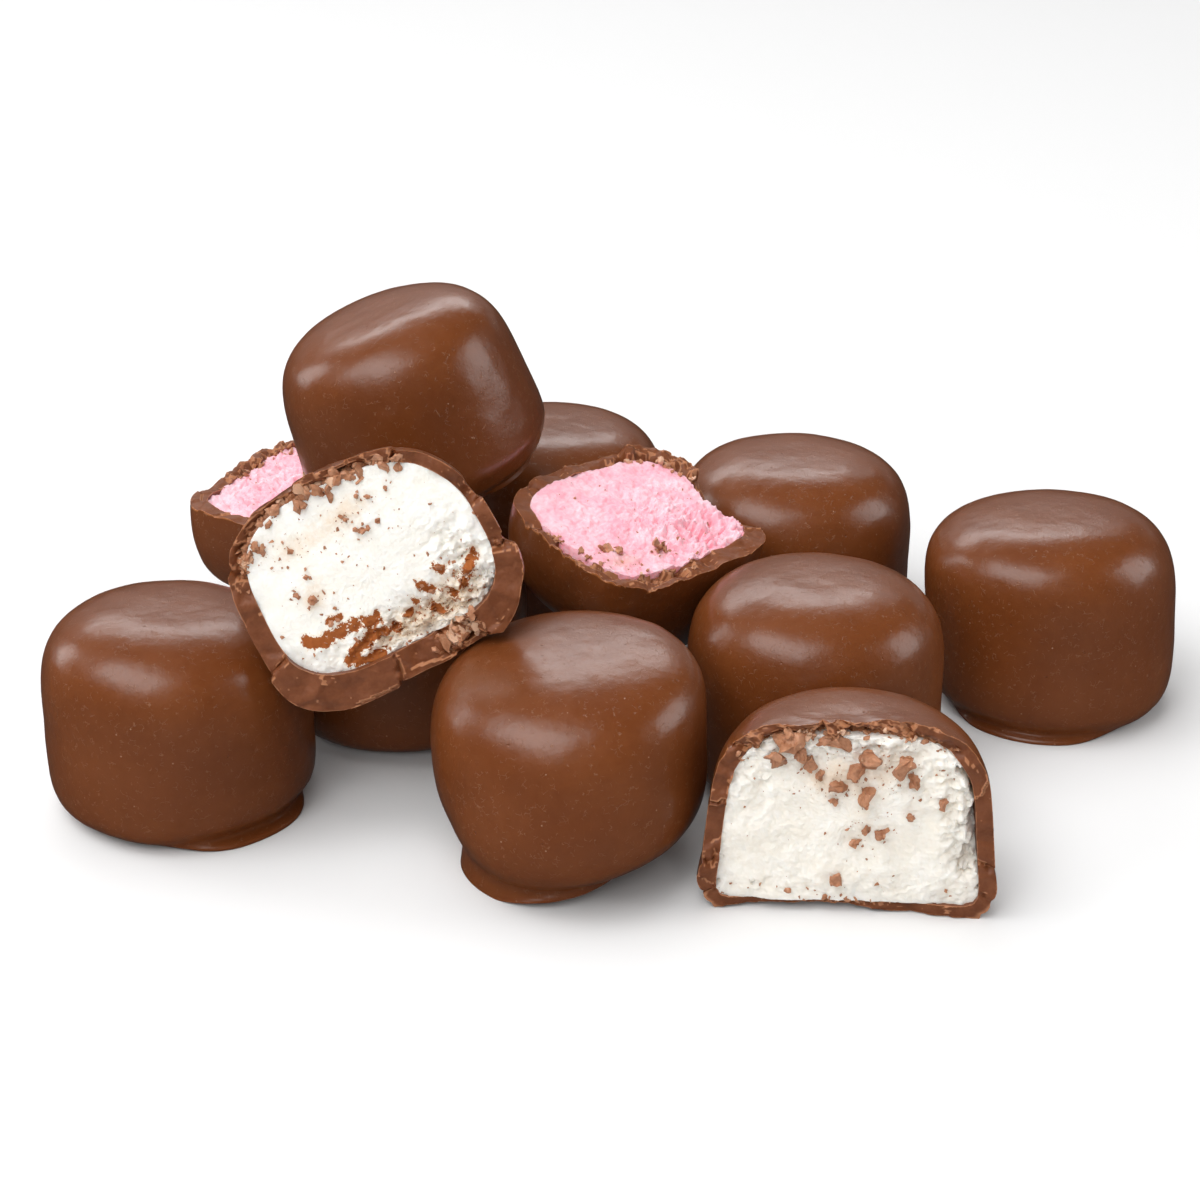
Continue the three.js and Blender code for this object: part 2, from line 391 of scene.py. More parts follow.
def milk_chocolate():
    """A satin coat: brown with slow clouds, dust specks, brushed hairs, pits and a thin lip painted
    with a glow.
    """
    material, bench = new_material("milk chocolate")
    place = bench.add("ShaderNodeAttribute", {"attribute_name": "sweet"}, {}, "Vector")
    lip = bench.add("ShaderNodeAttribute", {"attribute_name": "lip"}, {}, "Fac")
    cloud = bench.noise(place, 9.0, 3.0)
    mottle = bench.noise(place, 1.1, 3.0)
    clouded = step(bench, cloud * 0.7 + mottle * 0.3, 0.3, 0.7)
    colour = mixed(bench, clouded, DARK_COAT, WARM_COAT)
    # painted light: where the lip attribute is set, the coat is painted paler and warmer, as a glow
    # on a foot's thin lip and as a highlight on a broken coat's sharp edges
    colour = mixed(bench, step(bench, lip, 0.25, 0.8) * 0.8, colour, PAINTED_LIP_GLOW)
    speck = dots(bench, place, 1.5, 0.095, 0.42)
    colour = mixed(bench, speck * 0.62, colour, DUST_SPECK)
    hair = hairs(bench, place)
    colour = mixed(bench, hair * 0.3, colour, BRUSHED)
    satin = bench.noise(place, 2.2, 4.0)
    rough = 0.24 + 0.14 * satin + speck * 0.2
    grain = bench.noise(place, 0.30, 3.0)
    soft = bench.noise(place, 1.5, 3.0)
    pits = dots(bench, place, 2.3, 0.15, 0.4)
    height = grain * 0.014 + soft * 0.075 - pits * 0.06 + speck * 0.035 + hair * 0.018
    bump = bench.add("ShaderNodeBump", {}, {"Strength": 1.0, "Distance": MM, "Height": height})
    shader = bench.add(
        "ShaderNodeBsdfPrincipled",
        {},
        {
            "Base Color": colour,
            "Roughness": rough,
            "Normal": bump,
            "IOR": 1.5,
            "Subsurface Weight": 0.12,
            "Subsurface Radius": RED_GOES_FURTHEST,
            "Subsurface Scale": 0.0012,
            "Coat Weight": 0.25,
            "Coat Roughness": 0.18,
        },
    )
    bench.add("ShaderNodeOutputMaterial", {}, {"Surface": shader})
    return material


MILK_CHOCOLATE = milk_chocolate()
WHOLE_AROUND = 176  # points round a coat
WHOLE_RINGS = 104  # rings of points from its base to its crown

# at is where the middle of a sweet's base lies, and turn its tilt about X, Y and Z in degrees. form
# is what differs from the plain sweet.
WHOLE_SWEETS = {
    "left_front": {
        "at": (-51.3, -20.35, 0),
        "turn": (0, 0, 0),
        "form": {
            "Width": 30.2, "Height": 23.4, "Waist": 0.46, "Slant": (-0.06, -0.02, 0),
            "Foot": (-41, 46, 1.1), "Foot rise": (0.85, 0, 0),
        },
    },
    "centre_front": {
        "at": (-5.7, -35.35, 1.26),
        "turn": (-2.3, -10.4, 0),
        "settled": True,  # its foot runs down to the table all along
        "form": {
            "Width": 29.8, "Height": 22.6, "Crown power": 4.2, "Heel power": 3.0,
            "Slant": (-0.12, 0.08, 0), "Lean": (3, 2.7, 0), "Dent": (195, -28, 22),
            "Dent depth": 1.1, "Foot": (226, 94, -1.4), "Foot rise": (2.2, 0, 0),
            "Foot change": (-2.3, -1.2, 0), "Foot power": 2.4, "Tuck": 0.0,
        },
    },
    "right_middle": {
        "at": (20.9, -15.15, 0),
        "turn": (0, 0, 0),
        "form": {"Width": 29.3, "Height": 24.5},
    },
    "far_right": {
        "at": (51.6, 4.55, 0),
        "turn": (0, 0, 0),
        "form": {
            "Height": 24.3, "Waist": 0.55, "Slant": (0.06, -0.04, 0), "Lean": (-1.8, 0.4, 0),
            "Foot": (-112, 52, 0.2), "Foot rise": (0.8, 0, 0),
        },
    },
    "right_back": {"at": (21, 23.25, 0), "turn": (0, 0, 0), "form": {"Height": 24.4}},
    "back_centre": {"at": (-10.3, 34.25, 0), "turn": (0, 0, 0), "form": {"Height": 24.6}},
    "under_left": {
        "at": (-27.7, 0.85, 0),
        "turn": (0, 0, 0),
        "form": {"Width": 30.4, "Height": 23.2},
    },
    "top": {
        "at": (-23.5, 12.15, 26.15),
        "turn": (3, -18, 0),
        "form": {
            "Width": 29.3, "Height": 22.4, "Heel power": 5.5, "Draft": 0.14, "Foot": (-34, 34, -0.4),
        },
    },
}

for seed, (name, sweet) in enumerate(WHOLE_SWEETS.items()):
    form = {**sweet["form"], "Seed": seed * SEED_STEP}
    mesh = sweet_mesh(form, WHOLE_AROUND, WHOLE_RINGS, MILK_CHOCOLATE)
    lay(name + "_dipped", mesh, sweet, [name], seed)

# The bitten and halved sweets
# Two white and two pink marshmallows whose coats broke where they were bitten or cut. The coat is a
# shell about 2 mm thick that snapped into smooth plates, crumbly in places, and foam fills it.
CORNER = 3  # power of the cut face's outline, a rounded rectangle
CUT_AROUND = 320  # points of a broken face round its middle
# rings of points of a broken face, as shares of the way from its middle to the rim
COAT_STEPS = [0, 0.4, 0.64, *np.linspace(0.7, 1.16, 36), 1.28, 1.45]
FOAM_STEPS = [0, *np.linspace(0.03, 1.15, 90)]
HOLLOW_AROUND = 96  # points round the smooth inside of a coat, and round its foam
HOLLOW_RINGS = 56
FAR = 60  # how far in front of a broken face the block that the bite took reaches
FACE_DEPTH = 3  # the face lies in front of this, measured backwards from the sweet's axis

TEETH = 0.10  # height of the small teeth along a broken rim
PLATE_EDGE = 1.2  # degrees over which one plate of the rim steps to the next
PLATE_WANDER = 5  # degrees by which the ends of the plates wander across the rim
CRACK = 0.9  # half width in degrees of the crack between two plates
CRACK_DEPTH = 0.6
CRACK_DIP = 0.3  # how far the coat's outside sinks beside a crack
SWELL_BACK = 3.5  # how far behind the rim a loose plate still swells the coat
ROUND_RIM = 0.25  # millimetres along the rim for one degree
LUMPS = 2.6  # size of the lumps in a coat near its broken edge
FLAKES = 1.5  # size of the flakes in a crumbly stretch, with the smaller grains on them
GRAINS = 0.6
SHARDS = 5.0  # size of the broad facets that a coat breaks in
SHARD_STEP = 0.25
RIM_WAVES = 0.16  # height of the waves on a broken edge, as large as its lumps
RIM_GRAIN = 0.035
COAT_EDGE = 52  # degrees between two facets of a broken coat that stay a sharp edge
FOAM_EDGE = 60

FIBRES = 20  # degrees by which the foam's strands rise to the right
STRAND = 0.9  # thickness of a strand, which is STRETCH times as long
STRETCH = 2.4
TEARS = 1.5  # size of the torn places
LAYERS = 3.4  # size of the foam's stepped layers
LAYER_COUNT = 3  # steps between the middle level and the highest
GAP_DEPTH = 2.2  # how far the foam stands back where it came away from the coat
BORDER_WANDER = 0.05  # share of the way to the rim by which the foam's border comes and goes
BORDER_FALL = 0.04  # share of the way over which the foam falls back at its border
BUBBLES = 0.35
FEWEST_CRUMBS = 0.04  # how thickly crumbs lie on clean foam, as a share


def waves(points, size, seed, octaves=3):
    """Noise from about -1 to 1 at points in millimetres, another one for each seed."""
    move = Vector((seed * 17.3 + 0.37, seed * 5.1, 0.73))
    return np.array([noise.fractal(Vector(p) / size + move, 0.7, 2.1, octaves) for p in points])


def flakes(points, size, seed):
    """Level of the flake that each point lies on, from 0 to 1, and how far it is from its edge."""
    move = Vector((seed * 11.9 + 0.21, 3.3, seed * 2.7))
    levels, edges = [], []
    for p in points:
        far, cells = noise.voronoi(Vector(p) / size + move)
        levels.append(noise.cell(cells[0] * 9.7))
        edges.append((far[1] - far[0]) * size)
    return np.array(levels), np.array(edges)


def bell(x):
    """1 at 0, and falling smoothly to nothing on both sides by about 2."""
    return np.exp(-x * x)


def bells(u, v, rows):
    """Sum of smooth bumps, each given as across, up, height, width and tallness."""
    total = np.zeros_like(u)
    for across, up, height, wide, tall in rows:
        total += height * bell(np.hypot((u - across) / wide, (v - up) / tall))
    return total


def strokes(u, v, rows):
    """How thickly smears cover each point. A smear is its half width and the points it follows."""
    total = np.zeros_like(u)
    for wide, path in rows:
        for (ax, ay), (bx, by) in zip(path, path[1:] or path):
            along = (u - ax) * (bx - ax) + (v - ay) * (by - ay)
            along = np.clip(along / max((bx - ax) ** 2 + (by - ay) ** 2, 1e-6), 0, 1)
            away = np.hypot(u - ax - along * (bx - ax), v - ay - along * (by - ay))
            total = np.maximum(total, 1.15 * bell(away / wide / 1.2))
    return total


def angle_between(a, b):
    """The way from b to a in degrees, the shorter way round."""
    return (a - b + 180) % 360 - 180


def spans(angle, rows):
    """Sum of smooth patches round the face, each given as its angle, half width and amount."""
    total = np.zeros_like(angle)
    for where, half, amount in rows:
        total += amount * bell((angle_between(angle, where) / half) ** 2)
    return total


def plates(angle, rows, level):
    """Level of the rim's plate at each angle. A row is a plate's start and end, and its levels."""
    total = np.zeros_like(angle)
    for start, end, *levels in rows:
        middle, half = (start + end) / 2, (end - start) / 2
        inside = half - np.abs(angle_between(angle, middle))
        total += levels[level] * np.clip(inside / PLATE_EDGE + 0.5, 0, 1)
    return total


def cracks(angle, rows):
    """1 along the ends of the rim's plates."""
    ends = sorted({end for row in rows for end in row[:2]})
    return sum((bell(angle_between(angle, end) / CRACK) for end in ends), np.zeros_like(angle))


def closed_sheet(form, steps, relief, material):
    """The closed block that a bite took, whose front is a sheet with the relief of the broken face.
    relief takes across, up, share of the way to the rim, and the angle round the face."""
    middle = form["Height"] / 2
    angle = np.linspace(0, 360, CUT_AROUND, endpoint=False)
    c, s = np.cos(np.radians(angle)), np.sin(np.radians(angle))
    outline = (np.abs(c) ** CORNER + np.abs(s) ** CORNER) ** (-1 / CORNER)
    share = np.repeat(steps[1:], CUT_AROUND)
    turned = np.tile(angle, len(steps) - 1)
    u = share * np.tile(outline * c, len(steps) - 1) * form["Width"] / 2
    v = middle + share * np.tile(outline * s, len(steps) - 1) * middle
    u, v = np.append(u, 0.0), np.append(v, middle)
    share, turned = np.append(share, 0.0), np.append(turned, 0.0)
    front = np.column_stack([u, -relief(u, v, share, turned), v])
    last = (len(steps) - 2) * CUT_AROUND
    rim = front[last : last + CUT_AROUND].copy()
    rim[:, 1] = -FAR
    points = np.vstack([front, rim, [[0, -FAR, middle]]])
    centre, back = len(front) - 1, len(points) - 1
    faces = []
    starts = [k * CUT_AROUND for k in range(len(steps) - 1)] + [len(front)]
    for k in range(CUT_AROUND):
        n = (k + 1) % CUT_AROUND
        faces.append((centre, n, k))
        for a, b in zip(starts, starts[1:]):
            faces.append((a + k, a + n, b + n, b + k))
        faces.append((back, starts[-1] + k, starts[-1] + n))
    mesh = bpy.data.meshes.new("sheet")
    mesh.from_pydata(points.tolist(), [], faces)
    mesh.materials.append(material)
    return mesh


def cut(mesh, *tools):
    """A mesh with the tools' solids taken away. The new faces get the tools' materials."""
    holders = []
    for part in (mesh, *tools):
        holder = bpy.data.objects.new("holder", part)
        bpy.context.scene.collection.objects.link(holder)
        holders.append(holder)
    for tool in holders[1:]:
        boolean = holders[0].modifiers.new("cut", "BOOLEAN")
        boolean.operation = "DIFFERENCE"
        boolean.solver = "MANIFOLD"
        boolean.material_mode = "TRANSFER"
        boolean.object = tool
    seen = holders[0].evaluated_get(bpy.context.evaluated_depsgraph_get())
    made = bpy.data.meshes.new_from_object(seen)
    for holder in holders:
        bpy.data.objects.remove(holder)
    return made


def face_angle(form, u, v):
    """The angle round the cut face, as its sheet counts it, and the share of the way to the rim."""
    across, up = u * 2 / form["Width"], v * 2 / form["Height"] - 1
    share = (np.abs(across) ** CORNER + np.abs(up) ** CORNER) ** (1 / CORNER)
    return np.degrees(np.arctan2(up, across)) % 360, share


def swell(mesh, form, sweet):
    """Lifts or sinks the coat beside its broken edge, where a plate came loose."""
    at = points_of(mesh)
    angle, _ = face_angle(form, at[:, 0], at[:, 2])
    rim = sweet["rim"]
    out = plates(angle, rim["plates"], 1) - CRACK_DIP * cracks(angle, rim["plates"])
    out = out + spans(angle, rim["bulges"])
    lumps = waves(np.column_stack([angle * ROUND_RIM, at[:, 1], 0 * angle]), LUMPS, 5)
    out = out + rim["lumps"] * np.clip(spans(angle, rim["crumbly"]), 0, 1) * lumps
    out = out * bell((at[:, 1] + sweet["offset"]) / SWELL_BACK)
    at[:, 0] += out * np.cos(np.radians(angle))
    at[:, 2] += out * np.sin(np.radians(angle))
    mesh.vertices.foreach_set("co", at.astype(np.float32).ravel())


def rim_relief(sweet, seed):
    """The broken edge of a coat: plates at different levels, notches and crumbly stretches."""
    rim = sweet["rim"]

    def relief(u, v, share, angle):
        turn = np.radians(angle)
        points = np.column_stack([u, v, np.zeros_like(u)])
        angle = angle + PLATE_WANDER * waves(points, LUMPS, seed + 7)
        jagged = np.sin(7 * turn + 1) + np.sin(13 * turn + 4 + 9 * share) + np.sin(19 * turn + 2)
        out = sweet["offset"] + TEETH * jagged + plates(angle, rim["plates"], 0)
        out = out - CRACK_DEPTH * cracks(angle, rim["plates"])
        for where, half, depth in rim["notches"]:
            out = out - depth * bell(angle_between(angle, where) / half)
        crumbly = np.clip(spans(angle, rim["crumbly"]), 0, 1)
        level, edge = flakes(points, FLAKES, seed)
        broken = (level - 0.7) * 1.3 - 0.5 * bell(edge / 0.15)
        small, _ = flakes(points, GRAINS, seed + 3)
        inner = np.clip((rim["solid share"] - share) / 0.05 + 0.5, 0, 1)
        out = out + crumbly * (0.35 + 0.65 * inner) * (broken + 0.35 * (small - 0.5))
        broad, _ = flakes(points, SHARDS, seed + 9)
        out = out + SHARD_STEP * (broad - 0.5)
        out = out + RIM_WAVES * waves(points, LUMPS, seed)
        return out + RIM_GRAIN * waves(points, GRAINS, seed + 1)

    return relief


def foam_relief(sweet, seed):
    """The torn or cut face of the foam, with slow waves, torn places and small bubbles."""
    foam = sweet["foam"]

    def relief(u, v, share, angle):
        points = np.column_stack([u, v, np.zeros_like(u)])
        out = sweet["offset"] - foam["behind"] + bells(u, v, foam["bells"])
        torn = np.clip(foam["rough"] + bells(u, v, foam["torn"]), 0, 1)
        out = out + foam["wave"] * waves(points, foam["wave size"], seed + 20)
        lie = np.radians(FIBRES)
        along = u * np.cos(lie) + v * np.sin(lie)
        across = v * np.cos(lie) - u * np.sin(lie)
        strands = np.column_stack([along / STRETCH, across, np.zeros_like(u)])
        ragged = waves(points, TEARS, seed + 30, 4)
        ragged = ragged - 0.8 * np.abs(waves(strands, STRAND, seed + 40, 4))
        layers = waves(points, LAYERS, seed + 70, 4) * LAYER_COUNT
        layers = (np.round(layers) + 2 * (layers - np.round(layers)) ** 3) / LAYER_COUNT
        out = out + foam["tear"] * torn * ragged + foam["layers"] * layers
        ragged_share = share + BORDER_WANDER * waves(points, 2.2, seed + 80)
        edge = np.clip((ragged_share - foam["edge share"]) / BORDER_FALL, 0, 1)
        gap = np.clip(spans(angle, foam["gaps"]) + 0.5 * waves(points, 1.0, seed + 60), 0, 1)
        out = out - GAP_DEPTH * edge * np.clip(gap * 2 - 0.6, 0, 1)
        return out + foam["bubble"] * waves(points, BUBBLES, seed + 50, 2)

    return relief


def mark_edges(mesh, sharpness, form, rows):
    """Marks the points on sharp edges, which broken chocolate paints paler, partly for its paler
    break and partly as a painted highlight, but not in the cracks.
    """
    mesh.set_sharp_from_angle(angle=radians(sharpness))
    sharp = np.zeros(len(mesh.edges), bool)
    mesh.attributes["sharp_edge"].data.foreach_get("value", sharp)
    ends = np.empty(len(mesh.edges) * 2, np.int32)
    mesh.edges.foreach_get("vertices", ends)
    lip = np.zeros(len(mesh.vertices), np.float32)
    if "lip" in mesh.attributes:
        mesh.attributes["lip"].data.foreach_get("value", lip)
    lip[np.unique(ends.reshape(-1, 2)[sharp])] = 1.0
    at = points_of(mesh)
    angle, _ = face_angle(form, at[:, 0], at[:, 2])
    keep_as(mesh, "lip", "FLOAT", lip * (1 - np.clip(cracks(angle, rows) * 2, 0, 1)))


def broken_chocolate(name, dark, pale, fleck_and_edge_highlight):
    """Freshly broken chocolate: satin with faint clouds, pale flecks and sharp edges painted paler,
    partly as their own paler break and partly as a painted highlight.
    """
    material, bench = new_material(name)
    place = bench.add("ShaderNodeAttribute", {"attribute_name": "sweet"}, {}, "Vector")
    lip = bench.add("ShaderNodeAttribute", {"attribute_name": "lip"}, {}, "Fac")
    fine = bench.noise(place, 0.3, 3.0)
    cloud = bench.noise(place, 1.6, 3.0)
    colour = mixed(bench, step(bench, cloud * 0.65 + fine * 0.35, 0.32, 0.68), dark, pale)
    flecks = dots(bench, place, 0.7, 0.12, 0.25)
    colour = mixed(bench, flecks * 0.5, colour, fleck_and_edge_highlight)
    # paler sharp edges: partly the paler break of the chocolate, partly a painted highlight along
    # the edges
    colour = mixed(bench, step(bench, lip, 0.3, 0.95) * 0.85, colour, fleck_and_edge_highlight)
    height = fine * 0.05 + cloud * 0.12 + flecks * 0.03
    bump = bench.add("ShaderNodeBump", {}, {"Strength": 0.8, "Distance": MM, "Height": height})
    shader = bench.add(
        "ShaderNodeBsdfPrincipled",
        {},
        {
            "Base Color": colour,
            "Roughness": 0.42 + 0.2 * fine,
            "Normal": bump,
            "IOR": 1.5,
            "Subsurface Weight": 0.1,
            "Subsurface Radius": RED_GOES_FURTHEST,
            "Subsurface Scale": 0.0008,
        },
    )
    bench.add("ShaderNodeOutputMaterial", {}, {"Surface": shader})
    return material


FINE_DUST = (0.36, 0.14, 0.06, 1)
SMEARED = (0.34, 0.098, 0.023, 1)


def marshmallow(name, pale, deep_tone_and_shade, stain, glow):
    """Set foam: matt, with light that goes in, a deeper colour that is partly random tone and partly
    painted shade in its bump's hollows, and rubbed-in chocolate.
    """
    material, bench = new_material(name)
    place = bench.add("ShaderNodeAttribute", {"attribute_name": "sweet"}, {}, "Vector")
    smear = bench.add("ShaderNodeAttribute", {"attribute_name": "smear"}, {}, "Fac")
    tint = bench.add("ShaderNodeAttribute", {"attribute_name": "stain"}, {}, "Fac")
    cloud = bench.noise(place, 3.5, 3.0)
    fine = bench.noise(place, 0.5, 3.0)
    # the deeper colour follows the fine noise that also lowers the bump, so it is partly painted
    # shade in the hollows and partly random tone
    colour = mixed(bench, step(bench, cloud * 0.6 + fine * 0.4, 0.35, 0.7), deep_tone_and_shade, pale)
    ragged = (bench.noise(place, 1.1, 4.0, 3.0, 0.75) - 0.5) * 3.2
    stained = step(bench, tint + ragged * 0.3, 0.25, 1.0)
    colour = mixed(bench, stained * 0.7, colour, stain)
    dust = dots(bench, place, 1.3, 0.11, 0.05 + 0.4 * tint)
    colour = mixed(bench, dust * 0.8, colour, FINE_DUST)
    rubbed = smear + ragged
    rubbed = rubbed * step(bench, smear, 0.05, 0.3)
    colour = mixed(bench, step(bench, rubbed, 0.3, 0.7) * 0.4, colour, stain)
    colour = mixed(bench, step(bench, rubbed, 0.66, 0.74), colour, SMEARED)
    bubbles = bench.add("ShaderNodeTexVoronoi", {}, {"Vector": place, "Scale": 1 / 0.42})
    height = fine * 0.15 + bubbles * 0.06 + bench.noise(place, 1.4, 3.0) * 0.2
    bump = bench.add("ShaderNodeBump", {}, {"Strength": 0.7, "Distance": MM, "Height": height})
    shader = bench.add(
        "ShaderNodeBsdfPrincipled",
        {},
        {
            "Base Color": colour,
            "Roughness": 0.82,
            "Normal": bump,
            "IOR": 1.4,
            "Subsurface Weight": 0.45,
            "Subsurface Radius": glow,
            "Subsurface Scale": 0.0016,
        },
    )
    bench.add("ShaderNodeOutputMaterial", {}, {"Surface": shader})
    return material


BROKEN_CHOCOLATE = broken_chocolate(
    "broken milk chocolate",
    dark=(0.140, 0.038, 0.0105, 1),
    pale=(0.192, 0.059, 0.020, 1),
    fleck_and_edge_highlight=(0.44, 0.19, 0.09, 1),
)
WHITE_FOAM = marshmallow(
    "white marshmallow",
    pale=(0.93, 0.915, 0.875, 1),
    deep_tone_and_shade=(0.88, 0.85, 0.78, 1),
    stain=(0.78, 0.58, 0.38, 1),
    glow=(1, 0.9, 0.8),
)
CREAMY_FOAM = marshmallow(
    "creamy marshmallow",
    pale=(0.90, 0.87, 0.81, 1),
    deep_tone_and_shade=(0.84, 0.79, 0.705, 1),
    stain=(0.74, 0.55, 0.37, 1),
    glow=(1, 0.9, 0.8),
)
PINK_FOAM = marshmallow(
    "pink marshmallow",
    pale=(0.93, 0.60, 0.66, 1),
    deep_tone_and_shade=(0.90, 0.38, 0.46, 1),
    stain=(0.62, 0.34, 0.27, 1),
    glow=(1, 0.6, 0.6),
)

